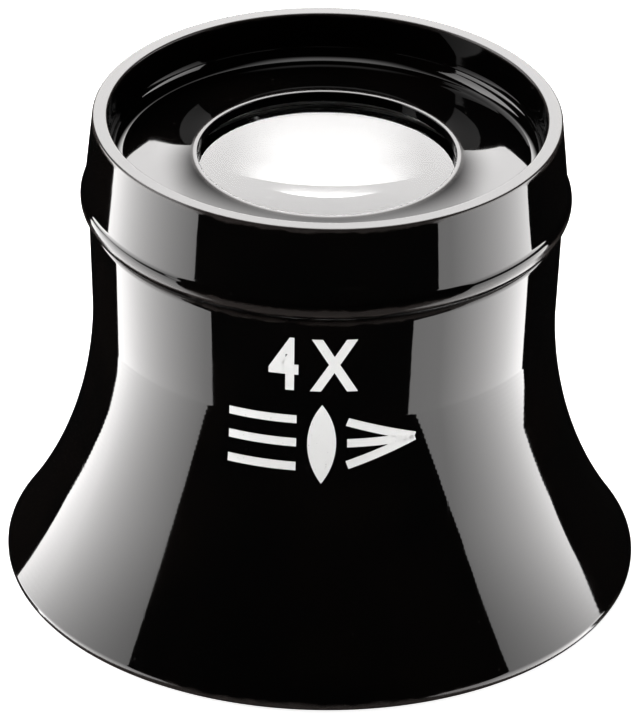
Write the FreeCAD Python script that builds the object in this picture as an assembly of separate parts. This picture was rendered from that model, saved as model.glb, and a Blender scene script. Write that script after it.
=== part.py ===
import FreeCAD, Part
import math
import os

# Jeweller's eye loupe, standing on its flared eye rim.
# Millimetres. Z is the optical axis, Z = 0 is the plane of the eye rim, the lens end is up,
# and -Y is the side that carries the printed marking.

# ---- driving dimensions -------------------------------------------------------------------

# Whole loupe
overall_height = 30.0        # eye rim to lens-end rim
eye_rim_radius = 19.0        # outside of the flared eye rim
lens_mount_height = 6.0      # part of the lens mount that shows above the seam

# Eye cup
eye_rim_land = 0.75          # upright band round the eye rim
eye_rim_width = 1.6          # wall at the eye rim
eye_rim_fillet = 0.6         # outer bottom edge
eye_rim_inner_fillet = 0.45
flare_blend = 0.2            # rounding between the upright band and the flare
flare_foot_rise = 0.6        # the flare inside starts this far above the eye rim
neck_below_seam = 6.95       # narrowest place, measured down from the seam
neck_wall = 1.58             # wall outside the threaded bore at the neck
neck_to_seam_flare = 0.27    # growth in radius from the neck up to the seam
cup_top_fillet = 0.3
cup_mouth_chamfer = 0.2

# Lens
lens_radius = 8.8
lens_edge_thickness = 1.2
lens_focal_length = 62.5     # 250 mm near point over a magnification of four
lens_front_curve_radius = 200.0  # the face away from the eye is the flatter one
lens_refractive_index = 1.523
lens_bevel = 0.15
lens_seam_angle = 40.0       # turns the lens's seam away from the mount's

# Lens mount
lens_seat_width = 1.08       # ledge that holds the lens's edge
lip_thickness = 0.6          # ledge, from the lens seat to the lip's crest
lip_rise = 0.5               # crest of the lip above the floor of the recess
lip_crest_width = 0.24       # from the aperture out to where the lip starts to fall
lip_spread = 2.8             # radial run of the hollow curve from the lip to the floor
lip_rounding = 0.1
recess_depth = 3.0           # rim to recess floor
recess_cove = 1.0            # rounding between recess wall and floor
rim_wall = 0.9
rim_fillet = 0.12
rim_draft = 0.43             # the outer wall widens by this from the rim to the bead
foot_overhang = 0.26         # outer wall above the bead, past the top of the eye cup
bead_height = 1.45           # seam to the top of the hollow above the bead
bead_proud = 0.25            # nose of the bead past the outer wall
bead_nose_height = 0.7       # nose above the seam
bead_hollow_drop = 0.3
bead_tuck = 0.35             # the bead's lower edge turns in past the outer wall by this
bore_step = 1.7              # the bore widens by this below the lens
bore_cone_drop = 1.6         # height of the cone that widens it
spigot_length = 4.2
spigot_wall = 1.15
spigot_chamfer = 0.25

# Screw thread between lens mount and eye cup, right-handed
thread_pitch = 1.0
thread_depth = 0.45
thread_base_width = 0.52
thread_crest_width = 0.2
thread_sink = 0.06           # a ridge's root goes this far into its wall
mount_thread_turns = 2.75
cup_thread_turns = 3.0
thread_lead_in = 0.55        # spigot's end to the first turn of its ridge

# Snap ring that holds the lens
wire_radius = 0.35
snap_ring_bite = 0.35        # depth of the groove that the ring springs into
snap_ring_gap_angle = 24.0

# Clearances
seam_gap = 0.1               # eye cup to the mount's shoulder
lens_clearance = 0.1         # lens edge in its bore, on the radius
seat_clearance = 0.1         # lens to seat, and snap ring to lens
groove_clearance = 0.1
thread_clearance = 0.12      # crest to root, on the radius

# ---- sizes that follow ---------------------------------------------------------------------

# Radii, outwards from the lens
aperture_radius = lens_radius - lens_seat_width
lip_fall_radius = aperture_radius + lip_crest_width
lens_bore_radius = lens_radius + lens_clearance
spigot_bore_radius = lens_bore_radius + bore_step
spigot_root_radius = spigot_bore_radius + spigot_wall
mount_crest_radius = spigot_root_radius + thread_depth
cup_bore_radius = mount_crest_radius + thread_clearance
cup_crest_radius = spigot_root_radius + thread_clearance
neck_radius = cup_bore_radius + neck_wall
cup_top_radius = neck_radius + neck_to_seam_flare
foot_radius = cup_top_radius + foot_overhang
rim_radius = foot_radius - rim_draft
recess_radius = rim_radius - rim_wall
opening_radius = eye_rim_radius - eye_rim_width

# Heights
seam_z = overall_height - lens_mount_height
cup_top_z = seam_z - seam_gap
neck_z = seam_z - neck_below_seam
spigot_end_z = seam_z - spigot_length
bead_top_z = seam_z + bead_height
recess_floor_z = overall_height - recess_depth
lip_crest_z = recess_floor_z + lip_rise
lens_seat_z = lip_crest_z - lip_thickness
mount_thread_z = spigot_end_z + thread_lead_in
cup_thread_z = mount_thread_z - thread_pitch / 2.0

# Thin-lens formula for the curve of the face towards the eye
lens_power = 1.0 / ((lens_refractive_index - 1.0) * lens_focal_length)
lens_back_curve_radius = 1.0 / (lens_power - 1.0 / lens_front_curve_radius)


def lens_drop(curve_radius, radius):
    """How far a face of the lens has fallen from its middle at this radius."""
    return curve_radius - math.sqrt(curve_radius**2 - radius**2)


lens_front_z = (
    lens_seat_z - seat_clearance + lens_drop(lens_front_curve_radius, aperture_radius)
)
lens_edge_top_z = lens_front_z - lens_drop(lens_front_curve_radius, lens_radius)
lens_edge_bottom_z = lens_edge_top_z - lens_edge_thickness
lens_back_z = lens_edge_bottom_z - lens_drop(lens_back_curve_radius, lens_radius)

# Snap ring, just under the lens's edge
groove_radius = lens_bore_radius + snap_ring_bite
ring_centre_radius = groove_radius - groove_clearance - wire_radius
ring_centre_z = lens_edge_bottom_z - seat_clearance - wire_radius
groove_top_z = ring_centre_z + wire_radius + groove_clearance
groove_bottom_z = ring_centre_z - wire_radius - groove_clearance
bore_cone_top_z = groove_bottom_z - wire_radius
bore_cone_bottom_z = bore_cone_top_z - bore_cone_drop

up = FreeCAD.Vector(0, 0, 1)
down = FreeCAD.Vector(0, 0, -1)
inward = FreeCAD.Vector(-1, 0, 0)


# ---- helpers -------------------------------------------------------------------------------

def at(radius, height):
    """A point of a turned outline, in the XZ plane."""
    return FreeCAD.Vector(radius, 0.0, height)


def line(start, end):
    return Part.LineSegment(start, end).toShape()


def lines(*points):
    return [line(start, end) for start, end in zip(points, points[1:])]


def arc(start, middle, end):
    return Part.Arc(start, middle, end).toShape()


def arc_leaving(start, direction, end):
    """The arc from start to end that leaves start in this direction."""
    chord = end - start
    side = (chord - direction * chord.dot(direction)).normalize()
    radius = chord.Length**2 / (2.0 * chord.dot(side))
    centre = start + side * radius
    middle = centre + ((start - centre) + (end - centre)).normalize() * radius
    return arc(start, middle, end)


def turned(edges):
    """The solid that a closed outline makes when it turns once about the Z axis."""
    face = Part.Face(Part.Wire(Part.sortEdges(edges)[0]))
    return face.revolve(FreeCAD.Vector(), up, 360.0)


def ring_edges(shape, rings):
    """The circular edges of a turned solid at these radii and heights."""
    found = []
    for edge in shape.Edges:
        if edge.Degenerated or not isinstance(edge.Curve, Part.Circle):
            continue
        here = at(edge.Curve.Radius, edge.Curve.Center.z)
        if any(here.distanceToPoint(at(*ring)) < 1e-4 for ring in rings):
            found.append(edge)
    return found


def rounded(shape, size, *rings):
    return shape.makeFillet(size, ring_edges(shape, rings))


def bevelled(shape, size, *rings):
    return shape.makeChamfer(size, ring_edges(shape, rings))


def thread_ridge(wall_radius, crest_radius, start_z, turns):
    """A right-handed helical ridge that stands on a wall and points at the crest radius."""
    outward = math.copysign(1.0, crest_radius - wall_radius)
    root_radius = wall_radius - outward * thread_sink
    half_base = thread_base_width / 2.0
    half_crest = thread_crest_width / 2.0
    section = Part.makePolygon([
        at(root_radius, start_z - half_base),
        at(crest_radius, start_z - half_crest),
        at(crest_radius, start_z + half_crest),
        at(root_radius, start_z + half_base),
        at(root_radius, start_z - half_base),
    ])
    helix = Part.makeHelix(thread_pitch, thread_pitch * turns, wall_radius)
    helix.translate(FreeCAD.Vector(0, 0, start_z))
    return Part.Wire(helix.Edges).makePipeShell([section], True, True)


# ---- pieces --------------------------------------------------------------------------------

def make_eye_cup():
    """Flared moulded cup with the inside thread in its neck."""
    flare_foot = at(eye_rim_radius, eye_rim_land)
    neck = at(neck_radius, neck_z)
    bore_foot = at(cup_bore_radius, neck_z)
    opening = at(opening_radius, flare_foot_rise)
    cup = turned([
        *lines(opening, at(opening_radius, 0.0), at(eye_rim_radius, 0.0), flare_foot),
        arc_leaving(neck, down, flare_foot),
        *lines(neck, at(cup_top_radius, cup_top_z), at(cup_bore_radius, cup_top_z), bore_foot),
        arc_leaving(bore_foot, down, opening),
    ])
    cup = rounded(cup, flare_blend, (eye_rim_radius, eye_rim_land))
    cup = rounded(cup, eye_rim_fillet, (eye_rim_radius, 0.0))
    cup = rounded(cup, eye_rim_inner_fillet, (opening_radius, 0.0))
    cup = rounded(cup, cup_top_fillet, (cup_top_radius, cup_top_z))
    cup = bevelled(cup, cup_mouth_chamfer, (cup_bore_radius, cup_top_z))
    ridge = thread_ridge(cup_bore_radius, cup_crest_radius, cup_thread_z, cup_thread_turns)
    return cup.fuse(ridge)


def make_lens_mount():
    """Screw-in mount: rim, recess, raised lip, bead, threaded spigot, lens seat and groove."""
    seat_edge = at(aperture_radius, lens_seat_z)
    lip_fall = at(lip_fall_radius, lip_crest_z)
    lip_foot = at(lip_fall_radius + lip_spread, recess_floor_z)
    recess_corner = at(recess_radius, recess_floor_z)
    rim_outside = at(rim_radius, overall_height)
    wall_foot = at(foot_radius, bead_top_z)
    bead_start = at(foot_radius + bead_proud / 2.0, bead_top_z - bead_hollow_drop)
    bead_nose = at(foot_radius + bead_proud, seam_z + bead_nose_height)
    bead_end = at(foot_radius - bead_tuck, seam_z)
    mount = turned([
        *lines(seat_edge, at(aperture_radius, lip_crest_z), lip_fall),
        arc_leaving(lip_foot, inward, lip_fall),
        *lines(lip_foot, recess_corner, at(recess_radius, overall_height), rim_outside, wall_foot),
        arc_leaving(wall_foot, down, bead_start),
        arc(bead_start, bead_nose, bead_end),
        *lines(
            bead_end,
            at(spigot_root_radius, seam_z),
            at(spigot_root_radius, spigot_end_z),
            at(spigot_bore_radius, spigot_end_z),
            at(spigot_bore_radius, bore_cone_bottom_z),
            at(lens_bore_radius, bore_cone_top_z),
            at(lens_bore_radius, groove_bottom_z),
            at(groove_radius, groove_bottom_z),
            at(groove_radius, groove_top_z),
            at(lens_bore_radius, groove_top_z),
            at(lens_bore_radius, lens_seat_z),
            seat_edge,
        ),
    ])
    mount = rounded(mount, lip_rounding, (aperture_radius, lip_crest_z), (lip_fall.x, lip_fall.z))
    mount = rounded(mount, recess_cove, (recess_radius, recess_floor_z))
    rim_edges = ((recess_radius, overall_height), (rim_radius, overall_height))
    mount = rounded(mount, rim_fillet, *rim_edges)
    mount = bevelled(mount, spigot_chamfer, (spigot_root_radius, spigot_end_z))
    ridge = thread_ridge(
        spigot_root_radius, mount_crest_radius, mount_thread_z, mount_thread_turns
    )
    return mount.fuse(ridge)


def make_lens():
    """Biconvex glass with a ground edge."""
    front = at(0.0, lens_front_z)
    back = at(0.0, lens_back_z)
    edge_top = at(lens_radius, lens_edge_top_z)
    edge_bottom = at(lens_radius, lens_edge_bottom_z)
    lens = turned([
        line(back, front),
        arc_leaving(front, FreeCAD.Vector(1, 0, 0), edge_top),
        line(edge_top, edge_bottom),
        arc_leaving(back, FreeCAD.Vector(1, 0, 0), edge_bottom),
    ])
    edges = ((lens_radius, lens_edge_top_z), (lens_radius, lens_edge_bottom_z))
    lens = bevelled(lens, lens_bevel, *edges)
    lens.rotate(FreeCAD.Vector(), up, lens_seam_angle)
    return lens


def make_snap_ring():
    """Split ring of round wire, sprung into the mount's groove under the lens."""
    centre = at(ring_centre_radius, ring_centre_z)
    wire = Part.Face(Part.Wire(Part.Circle(centre, FreeCAD.Vector(0, 1, 0), wire_radius).toShape()))
    ring = wire.revolve(FreeCAD.Vector(), up, 360.0 - snap_ring_gap_angle)
    ring.rotate(FreeCAD.Vector(), up, snap_ring_gap_angle / 2.0)
    return ring


def only_solid(shape, name):
    """The one solid in a shape, without leftover seams."""
    solids = shape.removeSplitter().Solids
    if len(solids) != 1 or not solids[0].isValid():
        raise ValueError(f"{name} is not one sound solid")
    return solids[0]


pieces = {
    "eye_cup": make_eye_cup(),
    "lens_mount": make_lens_mount(),
    "lens": make_lens(),
    "snap_ring": make_snap_ring(),
}

os.makedirs("parts", exist_ok=True)
for name, shape in pieces.items():
    only_solid(shape, name).exportStep(f"parts/{name}.step")
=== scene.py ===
import math

import bmesh
import bpy
from bpy.props import (
    FloatProperty,
    FloatVectorProperty,
    PointerProperty,
    StringProperty,
)
from bpy.types import NodeSocket, Operator, Panel, PropertyGroup
from mathutils import Matrix, Quaternion, Vector, geometry


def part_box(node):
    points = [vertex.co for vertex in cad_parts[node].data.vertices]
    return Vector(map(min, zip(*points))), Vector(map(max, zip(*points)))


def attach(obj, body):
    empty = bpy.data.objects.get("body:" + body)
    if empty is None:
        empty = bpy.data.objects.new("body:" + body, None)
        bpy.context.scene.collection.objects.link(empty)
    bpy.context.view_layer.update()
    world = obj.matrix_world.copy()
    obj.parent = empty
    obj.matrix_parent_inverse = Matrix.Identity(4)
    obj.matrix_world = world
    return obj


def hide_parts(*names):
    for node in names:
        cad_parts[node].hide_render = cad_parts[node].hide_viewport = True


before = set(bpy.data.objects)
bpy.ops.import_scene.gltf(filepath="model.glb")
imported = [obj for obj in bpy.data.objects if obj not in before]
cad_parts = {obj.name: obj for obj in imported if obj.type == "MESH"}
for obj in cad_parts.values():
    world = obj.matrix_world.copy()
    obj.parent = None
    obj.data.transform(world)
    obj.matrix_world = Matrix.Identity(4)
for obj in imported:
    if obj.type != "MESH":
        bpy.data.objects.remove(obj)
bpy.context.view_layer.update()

bl_info = {
    "name": "Eye Loupe Maker",
    "version": (1, 0, 0),
    "blender": (4, 5, 0),
    "location": "3D View > Sidebar > Loupe",
    "description": "Models an eye loupe, its finishes and its studio around the CAD frame",
    "category": "Object",
}

MM = 0.001
_, CUP_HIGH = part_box("eye_cup")
MOUNT_LOW, MOUNT_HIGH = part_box("lens_mount")
LENS_LOW, LENS_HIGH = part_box("lens")
RING_LOW, RING_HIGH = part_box("snap_ring")
UP = Vector((0.0, 0.0, 1.0))


# ---- settings ------------------------------------------------------------------------------


def size(name, description, default):
    """A length that a user may change, in metres."""
    return FloatProperty(
        name=name, description=description, default=default, min=0.0, precision=5,
        subtype="DISTANCE", unit="LENGTH",
    )


def turn_of(name, description, degrees):
    return FloatProperty(
        name=name, description=description, default=math.radians(degrees),
        subtype="ANGLE", unit="ROTATION",
    )


def amount(name, description, default, top=100.0):
    return FloatProperty(name=name, description=description, default=default, min=0.0, max=top)


def paint(name, description, default):
    return FloatVectorProperty(
        name=name, description=description, default=default, subtype="COLOR", min=0.0, max=1.0
    )


class StageSettings(PropertyGroup):
    camera_distance: size("Camera distance", "Camera to the middle of the loupe", 0.54226)
    camera_rise: turn_of("Camera elevation", "How far above the horizon the camera stands", 29.54)
    camera_roll: turn_of("Camera roll", "Turn of the camera about its own line of sight", 1.051)
    focal_length: FloatProperty(
        name="Focal length",
        description="Length of the camera's lens, in millimetres",
        default=449.73,
        subtype="DISTANCE_CAMERA",
        unit="CAMERA",
    )
    card_distance: size("Card distance", "Loupe to the soft light cards", 0.6)
    side_light: amount("Side light", "Brightness of the two side cards", 7.0)
    back_light: amount("Back light", "Brightness of the card behind the loupe", 7.0)
    floor_width: size("Floor width", "Side of the pale floor", 4.0)


class CupSettings(PropertyGroup):
    rim_radius: size("Eye rim radius", "Outside of the flared eye rim", CUP_HIGH.x)
    top: size("Top", "Height of the cup's upper edge", CUP_HIGH.z)
    opening_radius: size("Opening radius", "Inside of the eye rim", 17.4 * MM)
    land: size("Rim land", "Upright band round the eye rim", 0.75 * MM)
    rim_rounding: size("Rim rounding", "Outer bottom edge of the eye rim", 0.6 * MM)
    flare_foot: size("Flare foot", "Start of the flare inside", 0.6 * MM)
    neck_radius: size("Neck radius", "Outside of the narrowest place", 13.9 * MM)
    neck_height: size("Neck height", "Height of the narrowest place", 17.05 * MM)
    top_radius: size("Top radius", "Outside at the cup's upper edge", 14.17 * MM)
    bore_radius: size("Bore radius", "Root of the inside thread", 12.32 * MM)
    crest_radius: size("Crest radius", "Crest of the inside thread", 11.87 * MM)
    thread_start: size("Thread start", "Height of the inside thread's first turn", 19.85 * MM)
    thread_turns: amount("Thread turns", "Length of the inside thread", 3.0)


class MountSettings(PropertyGroup):
    top: size("Rim top", "Height of the lens-end rim", MOUNT_HIGH.z)
    spigot_end: size("Spigot end", "Height of the threaded spigot's free end", MOUNT_LOW.z)
    nose_radius: size("Bead radius", "Nose of the bead above the seam", MOUNT_HIGH.x)
    nose_rise: size("Bead nose", "Height of the bead's nose above the seam", 0.7 * MM)
    seam: size("Seam", "Height of the shoulder that meets the cup", 24.0 * MM)
    rim_radius: size("Rim radius", "Outside of the rim", 14.0 * MM)
    recess_radius: size("Recess radius", "Wall of the recess round the lens", 13.1 * MM)
    recess_floor: size("Recess floor", "Height of the recess floor", 27.0 * MM)
    foot_radius: size("Wall foot radius", "Outer wall where the bead starts", 14.43 * MM)
    foot_height: size("Wall foot height", "Height where the bead starts", 25.45 * MM)
    aperture_radius: size("Aperture radius", "Opening that the lens looks through", 7.72 * MM)
    lip_height: size("Lip height", "Crest of the lip round the lens", 27.5 * MM)
    lip_thickness: size("Lip thickness", "Ledge over the lens's edge", 0.6 * MM)
    lip_width: size("Lip width", "Level top of the lip", 0.24 * MM)
    lip_spread: size("Lip spread", "Hollow curve from the lip to the floor", 2.8 * MM)
    groove: size("Groove top", "Upper side of the snap ring's groove", RING_HIGH.z + 0.1 * MM)
    groove_radius: size("Groove radius", "Bottom of the snap ring's groove", 9.25 * MM)
    lens_bore_radius: size("Lens bore radius", "Bore that holds the lens", 8.9 * MM)
    spigot_bore_radius: size("Spigot bore radius", "Bore below the lens", 10.6 * MM)
    root_radius: size("Root radius", "Root of the spigot's thread", 11.75 * MM)
    crest_radius: size("Crest radius", "Crest of the spigot's thread", 12.2 * MM)
    thread_start: size("Thread start", "Height of the spigot thread's first turn", 20.35 * MM)
    thread_turns: amount("Thread turns", "Length of the spigot's thread", 2.75)


class GlassSettings(PropertyGroup):
    radius: size("Lens radius", "Ground edge of the lens", LENS_HIGH.x)
    back: size("Back", "Middle of the face towards the eye", LENS_LOW.z)
    front: size("Front", "Middle of the face away from the eye", LENS_HIGH.z)
    edge_low: size("Edge low", "Lower end of the ground edge", LENS_HIGH.z - 1.3937 * MM)
    edge_high: size("Edge high", "Upper end of the ground edge", LENS_HIGH.z - 0.1937 * MM)
    bevel: size("Edge bevel", "Chamfer at both ends of the ground edge", 0.15 * MM)
    wire_radius: size("Wire radius", "Half the snap ring's wire", (RING_HIGH.z - RING_LOW.z) / 2)
    ring_radius: size("Ring radius", "Centre line of the snap ring", 8.8 * MM)
    ring_gap: turn_of("Ring gap", "Opening between the snap ring's ends", 24.0)


class MarkingSettings(PropertyGroup):
    power: StringProperty(name="Power", description="Magnification that is printed", default="4X")
    power_height: size("Power height", "Height of the figures", 3.6 * MM)
    power_width: size("Power width", "Width of the figures", 5.25 * MM)
    power_level: size("Power level", "Height of the figures' middle", 20.95 * MM)
    sign_level: size("Sign level", "Height of the sign's middle", 15.6 * MM)
    sign_reach: size("Sign reach", "Half the width of the sign below the figures", 5.6 * MM)
    ray_spacing: size("Ray spacing", "Between the level rays of the sign", 1.55 * MM)
    ink_thickness: size("Ink thickness", "How far the ink stands off the cup", 0.02 * MM)


class FinishSettings(PropertyGroup):
    plastic: paint("Black plastic", "Body colour of the moulded parts", (0.0012, 0.0011, 0.0011))
    warm_plastic: paint("Warm black", "Colour the plastic drifts towards", (0.0022, 0.0017, 0.0015))
    rubbed_plastic: paint("Rubbed plastic", "Colour of rubbed edges", (0.060, 0.050, 0.046))
    ink: paint("Ink", "Colour of the printed marking", (0.92, 0.92, 0.91))
    wire: paint("Wire", "Colour of the spring wire", (0.62, 0.61, 0.59))


# ---- modelling helpers ---------------------------------------------------------------------


def touching_centre(touching, direction, other):
    """Centre of the circle that runs along direction at touching and passes through other."""
    chord = other - touching
    side = (chord - direction * chord.dot(direction)).normalized()
    return touching + side * chord.length_squared / (2.0 * chord.dot(side))


def passing_centre(start, middle, end):
    """Centre of the circle through three points of the XZ plane."""
    across = Vector((0.0, 1.0, 0.0))
    first, second = (start + middle) / 2, (middle + end) / 2
    found = geometry.intersect_line_line(
        first,
        first + (middle - start).cross(across),
        second,
        second + (end - middle).cross(across),
    )
    return found[0]


def at(radius, height):
    return Vector((radius, 0.0, height))


class Outline:
    """An outline in the XZ plane that is drawn from point to point and then turned."""

    def __init__(self, radius, height):
        self.mesh = bmesh.new()
        self.pen = self.start = self.mesh.verts.new(at(radius, height))
        self.corners = []

    def round_here(self, radius, segments=8):
        """Rounds the corner that the pen stands on, once the outline is whole."""
        self.corners.append((self.pen, radius, segments))
        return self

    def line_to(self, radius, height):
        made = bmesh.ops.extrude_vert_indiv(self.mesh, verts=[self.pen])
        self.pen = made["verts"][0]
        self.pen.co = at(radius, height)
        return self

    def arc_to(self, radius, height, centre, steps):
        start, end = self.pen.co - centre, at(radius, height) - centre
        turn = start.angle(end) * math.copysign(1.0, start.cross(end).y)
        made = bmesh.ops.spin(
            self.mesh,
            geom=[self.pen],
            cent=centre,
            axis=(0.0, 1.0, 0.0),
            angle=turn,
            steps=steps,
            use_duplicate=False,
        )
        self.pen = next(g for g in made["geom_last"] if isinstance(g, bmesh.types.BMVert))
        self.pen.co = at(radius, height)
        return self

    def close(self):
        self.mesh.edges.new((self.pen, self.start))
        return self

    def finish_corners(self):
        for corner, radius, segments in self.corners:
            if len(corner.link_edges) == 2:
                one, other = (e.other_vert(corner).co - corner.co for e in corner.link_edges)
                turn = math.pi - one.angle(other)
                bmesh.ops.bevel(
                    self.mesh,
                    geom=[corner],
                    offset=radius * math.tan(turn / 2),
                    offset_type="OFFSET",
                    segments=segments,
                    profile=0.5,
                    affect="VERTICES",
                    material=-1,
                    clamp_overlap=True,
                )

    def hold_flats(self, margin):
        """Adds a point near both ends of each long line, so that flats stay flat when shaded."""
        for edge in list(self.mesh.edges):
            reach = edge.calc_length()
            if reach > 5.0 * margin:
                first, second = edge.verts
                rest, _ = bmesh.utils.edge_split(edge, first, margin / reach)
                longer = max((edge, rest), key=lambda part: part.calc_length())
                if second in longer.verts:
                    bmesh.utils.edge_split(longer, second, margin / longer.calc_length())

    def turned(self, steps, angle=math.tau):
        self.finish_corners()
        self.hold_flats(0.05 * MM)
        full = abs(angle - math.tau) < 1e-6
        bmesh.ops.spin(
            self.mesh,
            geom=self.mesh.verts[:] + self.mesh.edges[:],
            cent=(0.0, 0.0, 0.0),
            axis=UP,
            angle=angle,
            steps=steps,
            use_merge=full,
            use_duplicate=False,
        )
        bmesh.ops.remove_doubles(self.mesh, verts=self.mesh.verts, dist=1e-7)
        bmesh.ops.recalc_face_normals(self.mesh, faces=self.mesh.faces)
        return self.mesh


def thread_ridge(wall_radius, crest_radius, start, turns, pitch=1.0 * MM, per_turn=72):
    """A helical ridge with a rounded crest that fades into its wall at both ends."""
    ridge = bmesh.new()
    outward = math.copysign(1.0, crest_radius - wall_radius)
    root = wall_radius - outward * 0.06 * MM
    corners = [
        ridge.verts.new(at(root, start - 0.26 * MM)),
        ridge.verts.new(at(crest_radius, start - 0.1 * MM)),
        ridge.verts.new(at(crest_radius, start + 0.1 * MM)),
        ridge.verts.new(at(root, start + 0.26 * MM)),
    ]
    for one, other in zip(corners, corners[1:] + corners[:1]):
        ridge.edges.new((one, other))
    bmesh.ops.bevel(
        ridge,
        geom=corners[1:3],
        offset=0.06 * MM,
        segments=3,
        profile=0.5,
        affect="VERTICES",
        material=-1,
    )
    section = bmesh.ops.contextual_create(ridge, geom=ridge.edges[:])["faces"][0]
    steps = round(turns * per_turn)
    fade = per_turn // 3
    step_turn = Matrix.Rotation(math.tau / per_turn, 4, "Z")
    step_rise = Matrix.Translation(UP * pitch / per_turn)

    def share(step):
        """How much of the ridge stands out of the wall at this step."""
        near_end = min(step, steps - step) / fade
        return 0.04 + 0.96 * math.sin(min(near_end, 1.0) * math.pi / 2)

    def stand(verts, factor):
        for vert in verts:
            radius = math.hypot(vert.co.x, vert.co.y)
            wanted = root + (radius - root) * factor
            vert.co.x *= wanted / radius
            vert.co.y *= wanted / radius

    stand(section.verts, share(0))
    front = section
    for step in range(1, steps + 1):
        made = bmesh.ops.extrude_face_region(
            ridge, geom=[front, *front.edges, *front.verts], use_keep_orig=step == 1
        )
        verts = [g for g in made["geom"] if isinstance(g, bmesh.types.BMVert)]
        front = next(g for g in made["geom"] if isinstance(g, bmesh.types.BMFace))
        bmesh.ops.transform(ridge, matrix=step_rise @ step_turn, verts=verts)
        stand(verts, share(step) / share(step - 1))
    bmesh.ops.remove_doubles(ridge, verts=ridge.verts, dist=1e-7)
    bmesh.ops.recalc_face_normals(ridge, faces=ridge.faces)
    return ridge


def add_shell(mesh, extra):
    """Puts a second shell into a mesh."""
    holder = bpy.data.meshes.new("holder")
    extra.to_mesh(holder)
    extra.free()
    mesh.from_mesh(holder)
    bpy.data.meshes.remove(holder)


def make_piece(name, mesh, materials, sharp=math.radians(38)):
    """Turns a finished bmesh into an object at the origin, smooth apart from its real edges."""
    for face in mesh.faces:
        face.smooth = True
    for edge in mesh.edges:
        if len(edge.link_faces) == 2 and edge.calc_face_angle(0.0) > sharp:
            edge.smooth = False
    data = bpy.data.meshes.new(name)
    mesh.to_mesh(data)
    mesh.free()
    for material in materials:
        data.materials.append(material)
    piece = bpy.data.objects.new(name, data)
    bpy.context.scene.collection.objects.link(piece)
    return piece


# ---- shader helpers ------------------------------------------------------------------------


class Nodes:
    """Adds nodes to a tree. An input is another node's socket or a plain value."""

    def __init__(self, tree):
        self.tree = tree
        self.column = 0

    def add(self, kind, inputs=None, **settings):
        made = self.tree.nodes.new(kind)
        made.location = (self.column * 190 - 1200, -(self.column % 4) * 160)
        self.column += 1
        for name, value in settings.items():
            setattr(made, name, value)
        for key, value in (inputs or {}).items():
            if isinstance(value, NodeSocket):
                self.tree.links.new(value, made.inputs[key])
            else:
                made.inputs[key].default_value = value
        return made

    def math(self, operation, *values, clamp=False):
        inputs = dict(enumerate(values))
        return self.add(
            "ShaderNodeMath", inputs, operation=operation, use_clamp=clamp
        ).outputs[0]

    def product(self, *values):
        result = values[0]
        for value in values[1:]:
            result = self.math("MULTIPLY", result, value)
        return result

    def hypotenuse(self, first, second):
        squares = [self.math("MULTIPLY", value, value) for value in (first, second)]
        return self.math("SQRT", self.math("ADD", *squares))

    def ramp(self, value, start, end, low=0.0, high=1.0, shape="SMOOTHSTEP"):
        inputs = {"Value": value, "From Min": start, "From Max": end, "To Min": low, "To Max": high}
        made = self.add("ShaderNodeMapRange", inputs, interpolation_type=shape)
        return made.outputs["Result"]

    def angle_ramp(self, angle, start, end, low, high, shape="SMOOTHSTEP"):
        """A ramp over an angle, whose ends are given in degrees."""
        return self.ramp(angle, math.radians(start), math.radians(end), low, high, shape)

    def mix(self, factor, first, second):
        inputs = {"Factor": factor, 6: first, 7: second}
        return self.add("ShaderNodeMix", inputs, data_type="RGBA").outputs[2]

    def noise(self, vector, scale, detail=2.0, roughness=0.5):
        inputs = {"Vector": vector, "Scale": scale, "Detail": detail, "Roughness": roughness}
        return self.add("ShaderNodeTexNoise", inputs).outputs["Fac"]

    def bump(self, surface, strength, distance, height):
        """Raises the skin by height, of which 1 stands for this distance in metres."""
        inputs = {"Strength": strength, "Distance": distance, "Height": height}
        made = self.add("ShaderNodeBump", inputs)
        self.tree.links.new(made.outputs[0], surface["Normal"])

    def stretched(self, vector, factors, turn=(0.0, 0.0, 0.0)):
        inputs = {"Vector": vector, "Scale": factors, "Rotation": turn}
        return self.add("ShaderNodeMapping", inputs).outputs["Vector"]


def effect(name, inputs, outputs):
    """A shader node group with named sockets. Returns its nodes, its input node and output node."""
    tree = bpy.data.node_groups.new(name, "ShaderNodeTree")
    for label, kind, default in inputs:
        socket = tree.interface.new_socket(
            name=label, in_out="INPUT", socket_type="NodeSocket" + kind
        )
        socket.default_value = default
    for label, kind in outputs:
        tree.interface.new_socket(name=label, in_out="OUTPUT", socket_type="NodeSocket" + kind)
    nodes = Nodes(tree)
    entry = nodes.add("NodeGroupInput")
    leave = nodes.add("NodeGroupOutput")
    return tree, nodes, entry.outputs, leave.inputs


def place_in_object(nodes):
    return nodes.add("ShaderNodeTexCoord").outputs["Object"]


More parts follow.
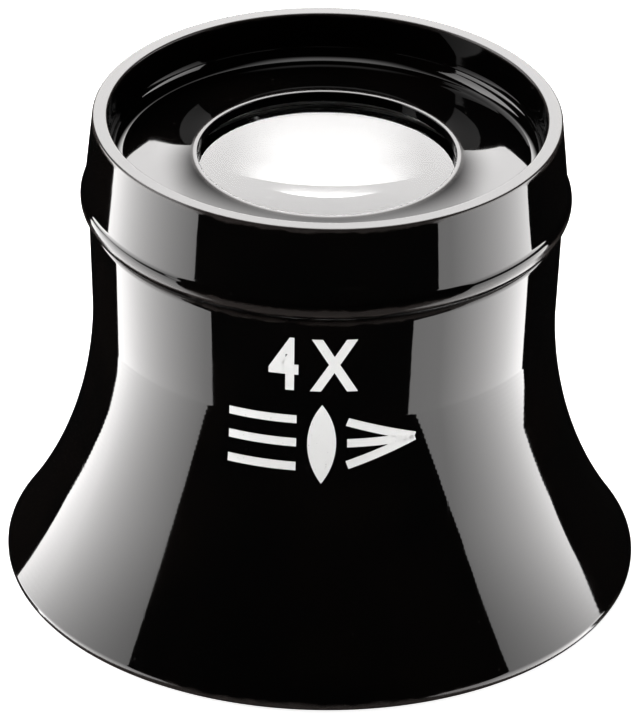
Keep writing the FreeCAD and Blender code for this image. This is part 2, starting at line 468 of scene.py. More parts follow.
def make_gloss_drift():
    """Slow colour and polish changes of a moulding, with the faint ripple of its skin."""
    tree, nodes, given, out = effect(
        "Gloss drift",
        [
            ("First Color", "Color", (0, 0, 0, 1)),
            ("Second Color", "Color", (0, 0, 0, 1)),
            ("Smooth", "Float", 0.04),
            ("Dull", "Float", 0.08),
            ("Ripple Scale", "Float", 900.0),
        ],
        [("Color", "Color"), ("Roughness", "Float"), ("Ripple", "Float")],
    )
    place = place_in_object(nodes)
    slow = nodes.noise(place, 140.0, 3.0)
    fine = nodes.noise(place, 1500.0, 3.0, 0.6)
    clouds = nodes.ramp(slow, 0.35, 0.7)
    colour = nodes.mix(clouds, given["First Color"], given["Second Color"])
    blend = nodes.math(
        "ADD", nodes.math("MULTIPLY", clouds, 0.7), nodes.math("MULTIPLY", fine, 0.3)
    )
    span = nodes.math("SUBTRACT", given["Dull"], given["Smooth"])
    rough = nodes.math("ADD", nodes.math("MULTIPLY", span, blend), given["Smooth"])
    ripple = nodes.noise(place, given["Ripple Scale"], 1.5, 0.4)
    for name, value in (("Color", colour), ("Roughness", rough), ("Ripple", ripple)):
        nodes.tree.links.new(value, out[name])
    return tree


def make_hairlines():
    """Fine scratches from handling, some round the piece and some across it."""
    tree, nodes, given, out = effect(
        "Hairlines",
        [("Amount", "Float", 0.5), ("Fineness", "Float", 1.0)],
        [("Mask", "Float")],
    )
    place = place_in_object(nodes)
    scaled = nodes.add(
        "ShaderNodeVectorMath", {0: place, "Scale": given["Fineness"]}, operation="SCALE"
    ).outputs[0]
    layers = []
    for factors, turn in (
        ((60.0, 60.0, 5200.0), (0.0, 0.0, 0.0)),
        ((4200.0, 70.0, 90.0), (0.3, 0.5, 0.9)),
        ((80.0, 3900.0, 110.0), (-0.6, 0.2, -0.5)),
    ):
        lines = nodes.noise(nodes.stretched(scaled, factors, turn), 1.0, 1.0)
        layers.append(nodes.ramp(lines, 0.70, 0.76))
    together = nodes.math("MAXIMUM", nodes.math("MAXIMUM", layers[0], layers[1]), layers[2])
    patches = nodes.ramp(nodes.noise(scaled, 210.0, 2.0), 0.42, 0.66)
    mask = nodes.product(together, patches, given["Amount"])
    nodes.tree.links.new(mask, out["Mask"])
    return tree


def make_edge_rub():
    """Where fingers and pockets rub a turned edge, given by the edge's radius and height."""
    tree, nodes, given, out = effect(
        "Edge rub",
        [("Radius", "Float", 0.01), ("Height", "Float", 0.01), ("Reach", "Float", 0.0003)],
        [("Mask", "Float")],
    )
    place = place_in_object(nodes)
    parts = nodes.add("ShaderNodeSeparateXYZ", {0: place}).outputs
    radius = nodes.hypotenuse(parts[0], parts[1])
    off_radius = nodes.math("SUBTRACT", radius, given["Radius"])
    off_height = nodes.math("SUBTRACT", parts[2], given["Height"])
    away = nodes.hypotenuse(off_radius, off_height)
    share = nodes.math("DIVIDE", away, given["Reach"])
    broken = nodes.math("MULTIPLY", nodes.noise(place, 800.0, 4.0, 0.65), 1.6)
    uneven = nodes.math("ADD", share, nodes.math("SUBTRACT", broken, 0.8))
    mask = nodes.ramp(uneven, 0.35, 1.0, 1.0, 0.0)
    nodes.tree.links.new(mask, out["Mask"])
    return tree


def make_dust():
    """Sparse specks of dust, thicker on faces that look up."""
    tree, nodes, given, out = effect(
        "Dust",
        [("Amount", "Float", 0.5), ("Speck Scale", "Float", 1400.0)],
        [("Mask", "Float")],
    )
    place = place_in_object(nodes)
    cells = nodes.add(
        "ShaderNodeTexVoronoi", {"Vector": place, "Scale": given["Speck Scale"], "Randomness": 1.0}
    )
    chosen = nodes.add("ShaderNodeSeparateColor", {0: cells.outputs["Color"]}).outputs[0]
    keep = nodes.ramp(chosen, 0.86, 0.9)
    spot = nodes.ramp(cells.outputs["Distance"], 0.10, 0.22, 1.0, 0.0)
    facing = nodes.add(
        "ShaderNodeSeparateXYZ", {0: nodes.add("ShaderNodeNewGeometry").outputs["Normal"]}
    ).outputs[2]
    lying = nodes.ramp(facing, -0.1, 0.9, 0.35, 1.0)
    mask = nodes.product(keep, spot, lying, given["Amount"])
    nodes.tree.links.new(mask, out["Mask"])
    return tree


EFFECTS = {}


def use_effect(nodes, name, **inputs):
    """Places a shared effect in a material, with this material's own values."""
    makers = {
        "Gloss drift": make_gloss_drift,
        "Hairlines": make_hairlines,
        "Edge rub": make_edge_rub,
        "Dust": make_dust,
    }
    if name not in EFFECTS:
        EFFECTS[name] = makers[name]()
    placed = nodes.add("ShaderNodeGroup")
    placed.node_tree = EFFECTS[name]
    for key, value in inputs.items():
        socket = placed.inputs[key.replace("_", " ")]
        if isinstance(value, NodeSocket):
            nodes.tree.links.new(value, socket)
        else:
            socket.default_value = value
    return placed.outputs


def new_material(name):
    material = bpy.data.materials.new(name)
    material.use_nodes = True
    material.node_tree.nodes.clear()
    nodes = Nodes(material.node_tree)
    shader = nodes.add("ShaderNodeBsdfPrincipled")
    leave = nodes.add("ShaderNodeOutputMaterial", {"Surface": shader.outputs[0]})
    shader.location, leave.location = (500, 200), (800, 200)
    return material, nodes, shader.inputs


def solid(colour):
    return (*colour, 1.0)


def moulded_plastic(name, edges, ripple=0.6, amount_of_dust=0.12):
    """Polished black plastic; edges lists the (radius, height, reach) of its rubbed edges."""
    finish = bpy.context.scene.loupe_finish
    material, nodes, surface = new_material(name)
    link = nodes.tree.links.new
    skin = use_effect(
        nodes,
        "Gloss drift",
        First_Color=solid(finish.plastic),
        Second_Color=solid(finish.warm_plastic),
        Smooth=0.022,
        Dull=0.055,
        Ripple_Scale=620.0,
    )
    scratches = use_effect(nodes, "Hairlines", Amount=0.35, Fineness=1.6)["Mask"]
    dust = use_effect(nodes, "Dust", Amount=amount_of_dust, Speck_Scale=2400.0)["Mask"]
    rubbed = None
    for radius, height, reach in edges:
        mask = use_effect(nodes, "Edge rub", Radius=radius, Height=height, Reach=reach)["Mask"]
        rubbed = mask if rubbed is None else nodes.math("MAXIMUM", rubbed, mask)
    colour = skin["Color"]
    rough = skin["Roughness"]
    if rubbed is not None:
        share = nodes.math("MULTIPLY", rubbed, 0.35)
        colour = nodes.mix(share, colour, solid(finish.rubbed_plastic))
        rough = nodes.math("ADD", rough, nodes.math("MULTIPLY", rubbed, 0.16))
    colour = nodes.mix(nodes.math("MULTIPLY", scratches, 0.03), colour, (0.2, 0.19, 0.18, 1.0))
    colour = nodes.mix(nodes.math("MULTIPLY", dust, 0.35), colour, (0.35, 0.33, 0.31, 1.0))
    rough = nodes.math("ADD", rough, nodes.math("MULTIPLY", scratches, 0.12))
    rough = nodes.math("ADD", rough, nodes.math("MULTIPLY", dust, 0.4), clamp=True)
    link(colour, surface["Base Color"])
    link(rough, surface["Roughness"])
    surface["IOR"].default_value = 1.5
    height = nodes.math(
        "SUBTRACT",
        nodes.math("MULTIPLY", skin["Ripple"], ripple),
        nodes.math("MULTIPLY", scratches, 0.15),
    )
    nodes.bump(surface, 1.0, 0.004 * MM, height)
    return material


def clear_glass():
    material, nodes, surface = new_material("Loupe_optical_glass")
    link = nodes.tree.links.new
    place = place_in_object(nodes)
    smear = nodes.ramp(nodes.noise(place, 260.0, 4.0, 0.6), 0.45, 0.8, 0.0, 0.03)
    specks = use_effect(nodes, "Dust", Amount=0.6, Speck_Scale=900.0)["Mask"]
    link(nodes.math("ADD", smear, nodes.math("MULTIPLY", specks, 0.25)), surface["Roughness"])
    tint = nodes.mix(nodes.noise(place, 90.0), (1.0, 1.0, 1.0, 1.0), (0.985, 1.0, 0.99, 1.0))
    link(tint, surface["Base Color"])
    surface["Transmission Weight"].default_value = 1.0
    surface["IOR"].default_value = 1.523
    return material


def ground_glass():
    """The lens's edge, ground grey by a diamond wheel."""
    material, nodes, surface = new_material("Loupe_ground_edge")
    link = nodes.tree.links.new
    place = place_in_object(nodes)
    grain = nodes.noise(place, 9000.0, 2.0)
    wheel = nodes.noise(nodes.stretched(place, (200.0, 200.0, 9000.0)), 1.0, 2.0)
    link(nodes.ramp(wheel, 0.3, 0.7, 0.45, 0.65), surface["Roughness"])
    link(nodes.mix(grain, (0.80, 0.83, 0.82, 1.0), (0.93, 0.95, 0.94, 1.0)), surface["Base Color"])
    nodes.bump(surface, 0.6, 0.01 * MM, grain)
    surface["Transmission Weight"].default_value = 1.0
    surface["IOR"].default_value = 1.523
    return material


def drawn_wire():
    finish = bpy.context.scene.loupe_finish
    material, nodes, surface = new_material("Loupe_spring_wire")
    link = nodes.tree.links.new
    place = place_in_object(nodes)
    lines = nodes.noise(nodes.stretched(place, (150.0, 150.0, 14000.0)), 1.0, 3.0, 0.6)
    stain = nodes.ramp(nodes.noise(place, 700.0, 3.0), 0.4, 0.75)
    darker = tuple(0.55 * c for c in finish.wire)
    link(nodes.mix(stain, solid(finish.wire), solid(darker)), surface["Base Color"])
    link(nodes.ramp(lines, 0.3, 0.7, 0.2, 0.42), surface["Roughness"])
    nodes.bump(surface, 0.5, 0.006 * MM, lines)
    surface["Metallic"].default_value = 1.0
    return material


def printed_ink():
    finish = bpy.context.scene.loupe_finish
    material, nodes, surface = new_material("Loupe_white_ink")
    link = nodes.tree.links.new
    place = place_in_object(nodes)
    cloud = nodes.noise(place, 900.0, 4.0, 0.6)
    pin = nodes.noise(place, 6500.0, 2.0)
    holes = nodes.ramp(pin, 0.70, 0.76)
    worn = tuple(0.93 * c for c in finish.ink)
    colour = nodes.mix(cloud, solid(finish.ink), solid(worn))
    colour = nodes.mix(nodes.math("MULTIPLY", holes, 0.5), colour, (0.2, 0.2, 0.2, 1.0))
    link(colour, surface["Base Color"])
    link(nodes.ramp(cloud, 0.3, 0.7, 0.35, 0.5), surface["Roughness"])
    height = nodes.math("SUBTRACT", nodes.math("MULTIPLY", pin, 0.4), holes)
    nodes.bump(surface, 0.5, 0.006 * MM, height)
    return material


# ---- stage ---------------------------------------------------------------------------------


CARD_TINT = (1.0, 0.985, 0.98)
CAMERA_AIM = Vector((-0.19 * MM, 0.0, 13.26 * MM))

# Corners of the side cards: azimuth and elevation in degrees, as heading() takes them
RIGHT_CARD = (
    (41, -36), (52, -19), (62, 0), (70, 21), (73, 27), (100, 18.5), (114, 8), (116, 0),
    (115, -10), (110, -20), (117, -26), (119, -31), (131, -36.5),
)
LEFT_CARD = (
    (-55, -36), (-61, -19), (-66, 0), (-70, 21), (-71, 26.5), (-98, 24), (-114, 17),
    (-127, 8), (-129, 0), (-129, -11), (-121, -21), (-121, -26), (-120, -31), (-130, -36.5),
)
TALL_CARD = ((-72, 29.5), (-76, 52), (-128, 52), (-132, 33))


def heading(azimuth, elevation):
    """A direction from the loupe: azimuth 0 is the camera's side, 90 its right, in degrees."""
    turn, rise = math.radians(azimuth), math.radians(elevation)
    return Vector(
        (math.sin(turn) * math.cos(rise), -math.cos(turn) * math.cos(rise), math.sin(rise))
    )


def direction_angles(nodes):
    """Azimuth and elevation, in radians, of a point of a card as the loupe sees it."""
    parts = nodes.add("ShaderNodeSeparateXYZ", {0: place_in_object(nodes)}).outputs
    azimuth = nodes.math("ARCTAN2", parts[0], nodes.math("MULTIPLY", parts[1], -1.0))
    return azimuth, nodes.math("ARCTAN2", parts[2], nodes.hypotenuse(parts[0], parts[1]))


def hang_card(name, sheet, make_level):
    """Makes a sheet glow softly. make_level adds the nodes that give its brightness."""
    data = bpy.data.meshes.new(name)
    sheet.to_mesh(data)
    sheet.free()
    lamp = bpy.data.objects.new(name, data)
    bpy.context.scene.collection.objects.link(lamp)
    material = bpy.data.materials.new(name)
    material.use_nodes = True
    material.node_tree.nodes.clear()
    nodes = Nodes(material.node_tree)
    inputs = {"Color": solid(CARD_TINT), "Strength": make_level(nodes)}
    glow = nodes.add("ShaderNodeEmission", inputs)
    nodes.add("ShaderNodeOutputMaterial", {"Surface": glow.outputs[0]})
    data.materials.append(material)
    lamp.visible_camera = False


class LOUPE_OT_build_stage(Operator):
    """Puts up the pale floor, the soft light cards, the white surround and the camera"""

    bl_idname = "loupe.build_stage"
    bl_label = "Build Studio"

    def execute(self, context):
        scene = context.scene
        settings = scene.loupe_stage
        scene.view_settings.view_transform = "Standard"
        self.add_camera(scene, settings)
        self.add_floor(settings)
        self.add_surround(scene)
        self.add_cards(settings)
        return {"FINISHED"}

    def add_camera(self, scene, settings):
        camera = bpy.data.objects.new("Studio_camera", bpy.data.cameras.new("Studio_camera"))
        scene.collection.objects.link(camera)
        middle = Vector((0.0, 0.0, MOUNT_HIGH.z / 2))
        back = heading(0.0, math.degrees(settings.camera_rise))
        camera.location = middle + back * settings.camera_distance
        look = (CAMERA_AIM - camera.location).to_track_quat("-Z", "Y")
        camera.rotation_mode = "QUATERNION"
        camera.rotation_quaternion = look @ Quaternion((0.0, 0.0, 1.0), settings.camera_roll)
        camera.data.lens = settings.focal_length
        camera.data.sensor_width = 36.0
        camera.data.clip_start, camera.data.clip_end = 0.01, 20.0
        scene.camera = camera

    def add_floor(self, settings):
        board = bmesh.new()
        bmesh.ops.create_grid(board, x_segments=4, y_segments=4, size=settings.floor_width / 2)
        data = bpy.data.meshes.new("Studio_floor")
        board.to_mesh(data)
        board.free()
        floor = bpy.data.objects.new("Studio_floor", data)
        bpy.context.scene.collection.objects.link(floor)
        material, nodes, surface = new_material("Studio_pale_board")
        place = place_in_object(nodes)
        grain = nodes.noise(place, 300.0, 3.0)
        nodes.tree.links.new(
            nodes.mix(grain, (0.95, 0.95, 0.95, 1.0), (0.98, 0.98, 0.98, 1.0)),
            surface["Base Color"],
        )
        surface["Roughness"].default_value = 0.9
        surface["Emission Color"].default_value = (1.0, 1.0, 1.0, 1.0)
        surface["Emission Strength"].default_value = 0.9
        data.materials.append(material)
        floor.visible_glossy = False

    def add_surround(self, scene):
        world = bpy.data.worlds.new("Studio_surround")
        scene.world = world
        world.use_nodes = True
        world.node_tree.nodes.clear()
        nodes = Nodes(world.node_tree)
        seen = nodes.add("ShaderNodeLightPath").outputs["Is Camera Ray"]
        level = nodes.ramp(seen, 0.0, 1.0, 0.003, 1.0)
        sky = nodes.add("ShaderNodeBackground", {"Color": (1, 1, 1, 1), "Strength": level})
        nodes.add("ShaderNodeOutputWorld", {"Surface": sky.outputs[0]})

    def add_cards(self, settings):
        self.add_side_card("Card_right", RIGHT_CARD, settings)
        self.add_side_card("Card_left", LEFT_CARD, settings)
        self.add_side_card("Card_tall", TALL_CARD, settings)
        self.add_canopy(settings)

    def add_side_card(self, name, corners, settings):
        """A card that is brighter towards the back and dimmer towards its top."""
        sheet = bmesh.new()
        verts = [sheet.verts.new(heading(*corner) * settings.card_distance) for corner in corners]
        bmesh.ops.contextual_create(sheet, geom=verts)
        bmesh.ops.triangulate(sheet, faces=sheet.faces)

        def make_level(nodes):
            azimuth, elevation = direction_angles(nodes)
            aside = nodes.math("ABSOLUTE", azimuth)
            backwards = nodes.angle_ramp(aside, 60, 114, 0.45, 1.2, "LINEAR")
            upwards = nodes.angle_ramp(elevation, -5, 25, 1.0, 0.62)
            return nodes.product(backwards, upwards, settings.side_light)

        hang_card(name, sheet, make_level)

    def add_canopy(self, settings):
        """A curved sheet from low behind the loupe to high over its front, as a soft gradient."""
        reach = settings.card_distance
        canopy = bmesh.new()
        start = canopy.verts.new(heading(180, 4) * reach)
        bmesh.ops.spin(
            canopy,
            geom=[start],
            cent=(0.0, 0.0, 0.0),
            axis=(1.0, 0.0, 0.0),
            angle=math.radians(112),
            steps=28,
            use_duplicate=False,
        )
        edges = canopy.edges[:]
        bmesh.ops.translate(canopy, verts=canopy.verts, vec=(-reach, 0.0, 0.0))
        made = bmesh.ops.extrude_edge_only(canopy, edges=edges)
        moved = [g for g in made["geom"] if isinstance(g, bmesh.types.BMVert)]
        bmesh.ops.translate(canopy, verts=moved, vec=(2.0 * reach, 0.0, 0.0))

        def make_level(nodes):
            parts = nodes.add("ShaderNodeSeparateXYZ", {0: place_in_object(nodes)}).outputs
            rise = nodes.math("ARCTAN2", parts[2], parts[1])
            low = nodes.angle_ramp(rise, 5, 18, 0.05, 1.0)
            dip = nodes.product(
                nodes.angle_ramp(rise, 33, 39, 0.0, 1.0), nodes.angle_ramp(rise, 40, 50, 1.0, 0.0)
            )
            dipped = nodes.math("SUBTRACT", 1.0, nodes.math("MULTIPLY", dip, 0.15))
            high = nodes.angle_ramp(rise, 50, 80, 1.0, 0.3)
            front = nodes.angle_ramp(rise, 85, 112, 1.0, 0.0)
            edge = nodes.ramp(nodes.math("ABSOLUTE", parts[0]), 0.06, 0.27, 1.0, 0.0)
            return nodes.product(low, dipped, high, front, edge, settings.back_light)

        hang_card("Card_canopy", canopy, make_level)


# ---- pieces --------------------------------------------------------------------------------


class LOUPE_OT_build_eye_cup(Operator):
    """Turns the flared eye cup and its inside thread"""

    bl_idname = "loupe.build_eye_cup"
    bl_label = "Build Eye Cup"

    def execute(self, context):
        s = context.scene.loupe_cup
        neck = at(s.neck_radius, s.neck_height)
        flare_end = at(s.rim_radius, s.land)
        flare = touching_centre(neck, -UP, flare_end)
        bore_foot = at(s.bore_radius, s.neck_height)
        inside_end = at(s.opening_radius, s.flare_foot)
        inside = touching_centre(bore_foot, -UP, inside_end)
        outline = Outline(s.opening_radius, s.flare_foot)
        outline.line_to(s.opening_radius, 0.0).round_here(0.45 * MM)
        outline.line_to(s.rim_radius, 0.0).round_here(s.rim_rounding, 12)
        outline.line_to(s.rim_radius, s.land).round_here(0.2 * MM)
        outline.arc_to(s.neck_radius, s.neck_height, flare, 48)
        outline.line_to(s.top_radius, s.top).round_here(0.3 * MM)
        outline.line_to(s.bore_radius, s.top).round_here(0.25 * MM, 4)
        outline.line_to(s.bore_radius, s.neck_height)
        outline.arc_to(s.opening_radius, s.flare_foot, inside, 48)
        bmesh.ops.remove_doubles(outline.mesh, verts=outline.mesh.verts, dist=1e-8)
        cup = outline.turned(256)
        add_shell(
            cup, thread_ridge(s.bore_radius, s.crest_radius, s.thread_start, s.thread_turns)
        )
        material = moulded_plastic(
            "Loupe_cup_plastic",
            [
                (s.rim_radius, 0.3 * MM, 0.5 * MM),
                (s.top_radius, s.top, 0.3 * MM),
                (s.opening_radius, 0.2 * MM, 0.6 * MM),
            ],
        )
        piece = make_piece("cup_shell", cup, [material])
        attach(piece, "eye_cup")
        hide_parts("eye_cup")
        return {"FINISHED"}


class LOUPE_OT_build_lens_mount(Operator):
    """Turns the screw-in lens mount with its rim, recess, lip, bead and threaded spigot"""

    bl_idname = "loupe.build_lens_mount"
    bl_label = "Build Lens Mount"

    def execute(self, context):
        s = context.scene.loupe_mount
        seat = s.lip_height - s.lip_thickness
        lip_fall = at(s.aperture_radius + s.lip_width, s.lip_height)
        lip_foot = at(lip_fall.x + s.lip_spread, s.recess_floor)
        hollow = touching_centre(lip_foot, Vector((-1.0, 0.0, 0.0)), lip_fall)
        wall_foot = at(s.foot_radius, s.foot_height)
        bead_start = at(s.foot_radius + 0.125 * MM, s.foot_height - 0.3 * MM)
        bead_nose = at(s.nose_radius, s.seam + s.nose_rise)
        bead_end = at(s.foot_radius - 0.35 * MM, s.seam)
        bead_hollow = touching_centre(wall_foot, -UP, bead_start)
        bead = passing_centre(bead_start, bead_nose, bead_end)
        outline = Outline(s.aperture_radius, seat)
        outline.line_to(s.aperture_radius, s.lip_height).round_here(0.06 * MM, 4)
        outline.line_to(lip_fall.x, s.lip_height).round_here(0.3 * MM, 6)
        outline.arc_to(lip_foot.x, s.recess_floor, hollow, 12)
        outline.line_to(s.recess_radius, s.recess_floor).round_here(1.0 * MM, 16)
        outline.line_to(s.recess_radius, s.top).round_here(0.12 * MM)
        outline.line_to(s.rim_radius, s.top).round_here(0.12 * MM)
        outline.line_to(s.foot_radius, s.foot_height)
        outline.arc_to(bead_start.x, bead_start.z, bead_hollow, 6)
        outline.arc_to(bead_nose.x, bead_nose.z, bead, 8)
        outline.arc_to(bead_end.x, bead_end.z, bead, 14)
        outline.line_to(s.root_radius, s.seam)
        outline.line_to(s.root_radius, s.spigot_end).round_here(0.25 * MM)
        outline.line_to(s.spigot_bore_radius, s.spigot_end).round_here(0.12 * MM, 4)
        outline.line_to(s.spigot_bore_radius, s.groove - 2.85 * MM)
        outline.line_to(s.lens_bore_radius, s.groove - 1.25 * MM)
        outline.line_to(s.lens_bore_radius, s.groove - 0.9 * MM)
        outline.line_to(s.groove_radius, s.groove - 0.9 * MM)
        outline.line_to(s.groove_radius, s.groove)
        outline.line_to(s.lens_bore_radius, s.groove)
        outline.line_to(s.lens_bore_radius, seat)
        outline.close()
        mount = outline.turned(256)
        add_shell(
            mount, thread_ridge(s.root_radius, s.crest_radius, s.thread_start, s.thread_turns)
        )
        material = moulded_plastic(
            "Loupe_mount_plastic",
            [
                (s.rim_radius, s.top, 0.35 * MM),
                (s.recess_radius, s.top, 0.25 * MM),
                (s.nose_radius, s.seam + s.nose_rise, 0.3 * MM),
                (lip_fall.x, s.lip_height, 0.25 * MM),
            ],
        )
        piece = make_piece("mount_shell", mount, [material])
        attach(piece, "lens_mount")
        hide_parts("lens_mount")
        return {"FINISHED"}


class LOUPE_OT_build_lens(Operator):
    """Turns the biconvex lens and bends the snap ring that holds it"""

    bl_idname = "loupe.build_lens"
    bl_label = "Build Lens and Snap Ring"

    def execute(self, context):
        s = context.scene.loupe_glass
        self.add_lens(s)
        self.add_ring(s)
        return {"FINISHED"}

    def add_lens(self, s):
        across = Vector((1.0, 0.0, 0.0))
        back, front = at(0.0, s.back), at(0.0, s.front)
        low, high = at(s.radius, s.edge_low), at(s.radius, s.edge_high)
        outline = Outline(0.0, s.back)
        outline.arc_to(s.radius, s.edge_low, touching_centre(back, across, low), 40)
        outline.round_here(s.bevel, 2)
        outline.line_to(s.radius, s.edge_high).round_here(s.bevel, 2)
        outline.arc_to(0.0, s.front, touching_centre(front, across, high), 40)
        lens = outline.turned(192)
        for face in lens.faces:
            middle = face.calc_center_median()
            face.material_index = int(math.hypot(middle.x, middle.y) > s.radius - 1.2 * s.bevel)
        piece = make_piece("lens_glass", lens, [clear_glass(), ground_glass()], math.radians(20))
        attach(piece, "lens_cell")
        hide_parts("lens")

    def add_ring(self, s):
        ring = bmesh.new()
        middle = at(s.ring_radius, (RING_LOW.z + RING_HIGH.z) / 2)
        made = bmesh.ops.create_circle(
            ring,
            cap_ends=True,
            segments=24,
            radius=s.wire_radius,
            matrix=Matrix.Translation(middle) @ Matrix.Rotation(math.pi / 2, 4, "X"),
        )
        bmesh.ops.rotate(
            ring, verts=made["verts"], matrix=Matrix.Rotation(s.ring_gap / 2, 3, "Z")
        )
        bmesh.ops.spin(
            ring,
            geom=ring.faces[:],
            axis=UP,
            angle=math.tau - s.ring_gap,
            steps=160,
            use_duplicate=False,
        )
        ends = [f for f in ring.faces if len(f.verts) > 4]
        bmesh.ops.bevel(
            ring,
            geom=[e for f in ends for e in f.edges],
            offset=0.08 * MM,
            segments=3,
            profile=0.5,
            affect="EDGES",
            material=-1,
        )
        bmesh.ops.recalc_face_normals(ring, faces=ring.faces)
        piece = make_piece("spring_ring", ring, [drawn_wire()])
        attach(piece, "lens_cell")
        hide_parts("snap_ring")


class LOUPE_OT_print_marking(Operator):
    """Prints the magnification and a small lens sign on the cup"""

    bl_idname = "loupe.print_marking"
    bl_label = "Print Marking"

    def execute(self, context):
        s = context.scene.loupe_marking
        ink = printed_ink()
        self.print_power(s, ink)
        self.print_sign(s, ink)
        return {"FINISHED"}

    def print_power(self, s, ink):
        letters = bpy.data.curves.new("power_letters", "FONT")
        letters.body = s.power
        letters.size = 1.0
        letters.offset = 0.026
        letters.space_character = 1.5
        letters.resolution_u = 6
        holder = bpy.data.objects.new("power_letters", letters)
        bpy.context.scene.collection.objects.link(holder)
        bpy.context.view_layer.update()
        flat = bpy.data.meshes.new_from_object(
            holder.evaluated_get(bpy.context.evaluated_depsgraph_get())
        )
        bpy.data.objects.remove(holder)
        bpy.data.curves.remove(letters)
        print_ = bmesh.new()
        print_.from_mesh(flat)
        bpy.data.meshes.remove(flat)
        xs = [v.co.x for v in print_.verts]
        ys = [v.co.y for v in print_.verts]
        span = Vector((max(xs) - min(xs), max(ys) - min(ys)))
        bmesh.ops.translate(
            print_, verts=print_.verts, vec=(-(max(xs) + min(xs)) / 2, -(max(ys) + min(ys)) / 2, 0)
        )
        bmesh.ops.scale(
            print_,
            verts=print_.verts,
            vec=(s.power_width / span.x, s.power_height / span.y, 1.0),
        )
        self.wrap(print_, s, Vector((-0.56 * MM, s.power_level)))
        piece = make_piece("power_marking", print_, [ink], math.radians(25))
        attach(piece, "eye_cup")

    def print_sign(self, s, ink):
        """A lens seen edge on, with rays that run level into it and meet behind it."""
        sign = bmesh.new()
        self.add_lens_shape(sign, 2.6 * MM, 0.85 * MM)
        near_lens = 1.5 * MM
        heights = (-s.ray_spacing, 0.0, s.ray_spacing)
        for height in heights:
            self.add_bar(sign, Vector((-s.sign_reach, height)), Vector((-near_lens, height)))
        focus = Vector((s.sign_reach, 0.0))
        for height in heights:
            self.add_bar(sign, Vector((near_lens, height * 0.92)), focus)
        self.wrap(sign, s, Vector((0.0, s.sign_level)))
        piece = make_piece("sign_marking", sign, [ink], math.radians(25))
        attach(piece, "eye_cup")

    def add_lens_shape(self, sign, half_height, half_width):
        part = bmesh.new()
        tip = part.verts.new((0.0, -half_height, 0.0))
        reach = (half_height**2 - half_width**2) / (2 * half_width)
        angle = 2 * math.atan2(half_height, reach)
        made = bmesh.ops.spin(
            part, geom=[tip], cent=(-reach, 0, 0), axis=(0, 0, 1), angle=angle, steps=24,
            use_duplicate=False,
        )
        top = next(g for g in made["geom_last"] if isinstance(g, bmesh.types.BMVert))
        bmesh.ops.spin(
            part, geom=[top], cent=(reach, 0, 0), axis=(0, 0, 1), angle=angle, steps=24,
            use_duplicate=False,
        )
        bmesh.ops.remove_doubles(part, verts=part.verts, dist=1e-7)
        bmesh.ops.contextual_create(part, geom=part.edges[:])
        add_shell(sign, part)

    def add_bar(self, sign, start, end, half=0.27 * MM):
        part = bmesh.new()
        bmesh.ops.create_grid(part, x_segments=1, y_segments=1, size=1.0)
        along = end - start
        matrix = (
            Matrix.Translation(((start + end) / 2).to_3d())
            @ Matrix.Rotation(math.atan2(along.y, along.x), 4, "Z")
            @ Matrix.Diagonal((along.length / 2, half, 1.0, 1.0))
        )
        bmesh.ops.transform(part, matrix=matrix, verts=part.verts)
        add_shell(sign, part)

    def wrap(self, flat, s, middle):
        """Cuts a flat print into small tiles, thickens it and lays it round the cup."""
        for axis, reach, pitch in ((0, 7.0, 0.2), (1, 4.0, 0.25)):  # millimetres
            normal = Vector((0.0, 0.0, 0.0))
            normal[axis] = 1.0
            count = round(reach / pitch)
            for index in range(-count, count + 1):
                bmesh.ops.bisect_plane(
                    flat,
                    geom=flat.verts[:] + flat.edges[:] + flat.faces[:],
                    dist=1e-9,
                    plane_co=normal * (index + 0.37) * pitch * MM,
                    plane_no=normal,
                )
        bmesh.ops.recalc_face_normals(flat, faces=flat.faces)
        made = bmesh.ops.extrude_face_region(flat, geom=flat.faces[:], use_keep_orig=True)
        lifted = [g for g in made["geom"] if isinstance(g, bmesh.types.BMVert)]
        bmesh.ops.translate(flat, verts=lifted, vec=(0.0, 0.0, 1.0))
        cup = bpy.context.scene.loupe_cup
        neck = at(cup.neck_radius, cup.neck_height)
        flare = touching_centre(neck, -UP, at(cup.rim_radius, cup.land))
        bend = flare.x - neck.x
        ink_sink = 0.01 * MM
        for vert in flat.verts:
            around, height = vert.co.x + middle.x, vert.co.y + middle.y
            if height > neck.z:
                share = (height - neck.z) / (cup.top - neck.z)
                wall = neck.x + (cup.top_radius - neck.x) * share
            else:
                wall = flare.x - math.sqrt(bend**2 - (neck.z - height) ** 2)
            angle = around / cup.neck_radius
            stand = s.ink_thickness if vert.co.z > 0.5 else -ink_sink
            vert.co = Vector(
                ((wall + stand) * math.sin(angle), -(wall + stand) * math.cos(angle), height)
            )
        bmesh.ops.recalc_face_normals(flat, faces=flat.faces)


# ---- add-on --------------------------------------------------------------------------------

SETTINGS = {
    "loupe_stage": StageSettings,
    "loupe_cup": CupSettings,
    "loupe_mount": MountSettings,
    "loupe_glass": GlassSettings,
    "loupe_marking": MarkingSettings,
    "loupe_finish": FinishSettings,
}
OPERATORS = (
    LOUPE_OT_build_stage,
    LOUPE_OT_build_eye_cup,
    LOUPE_OT_build_lens_mount,
    LOUPE_OT_build_lens,
    LOUPE_OT_print_marking,
)


class LOUPE_PT_maker(Panel):
    """Lists the loupe's builders and their sizes"""

    bl_idname = "LOUPE_PT_maker"
    bl_label = "Eye Loupe"
    bl_space_type = "VIEW_3D"
    bl_region_type = "UI"
    bl_category = "Loupe"

    def draw(self, context):
        for operator in OPERATORS:
            self.layout.operator(operator.bl_idname)
        for name, group in SETTINGS.items():
            box = self.layout.box()
            box.label(text=name.replace("_", " ").capitalize())
            for setting in group.__annotations__:
                box.prop(getattr(context.scene, name), setting)


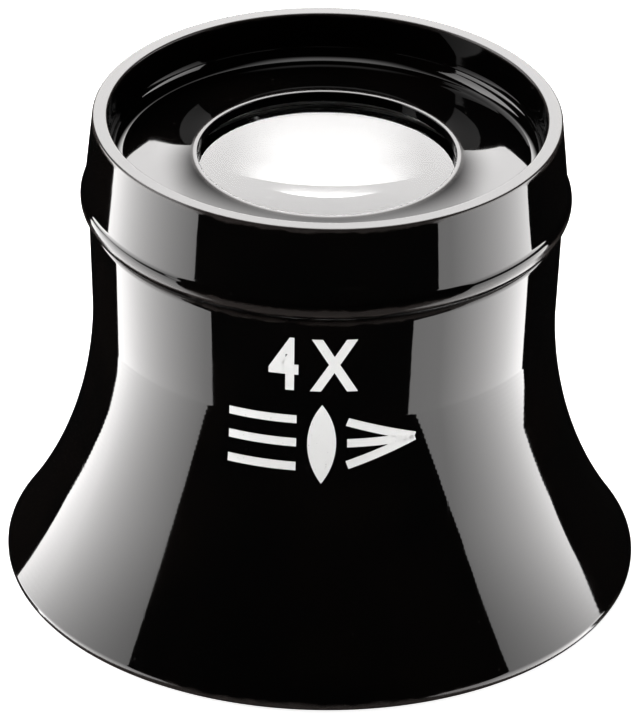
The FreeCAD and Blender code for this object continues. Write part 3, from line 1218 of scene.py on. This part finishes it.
def register():
    for group in SETTINGS.values():
        bpy.utils.register_class(group)
    for name, group in SETTINGS.items():
        setattr(bpy.types.Scene, name, PointerProperty(type=group))
    for operator in OPERATORS:
        bpy.utils.register_class(operator)
    bpy.utils.register_class(LOUPE_PT_maker)


def unregister():
    bpy.utils.unregister_class(LOUPE_PT_maker)
    for operator in reversed(OPERATORS):
        bpy.utils.unregister_class(operator)
    for name, group in reversed(SETTINGS.items()):
        delattr(bpy.types.Scene, name)
        bpy.utils.unregister_class(group)


def main():
    register()
    bpy.ops.loupe.build_stage()
    bpy.ops.loupe.build_eye_cup()
    bpy.ops.loupe.build_lens_mount()
    bpy.ops.loupe.build_lens()
    bpy.ops.loupe.print_marking()


if __name__ == "__main__":
    main()
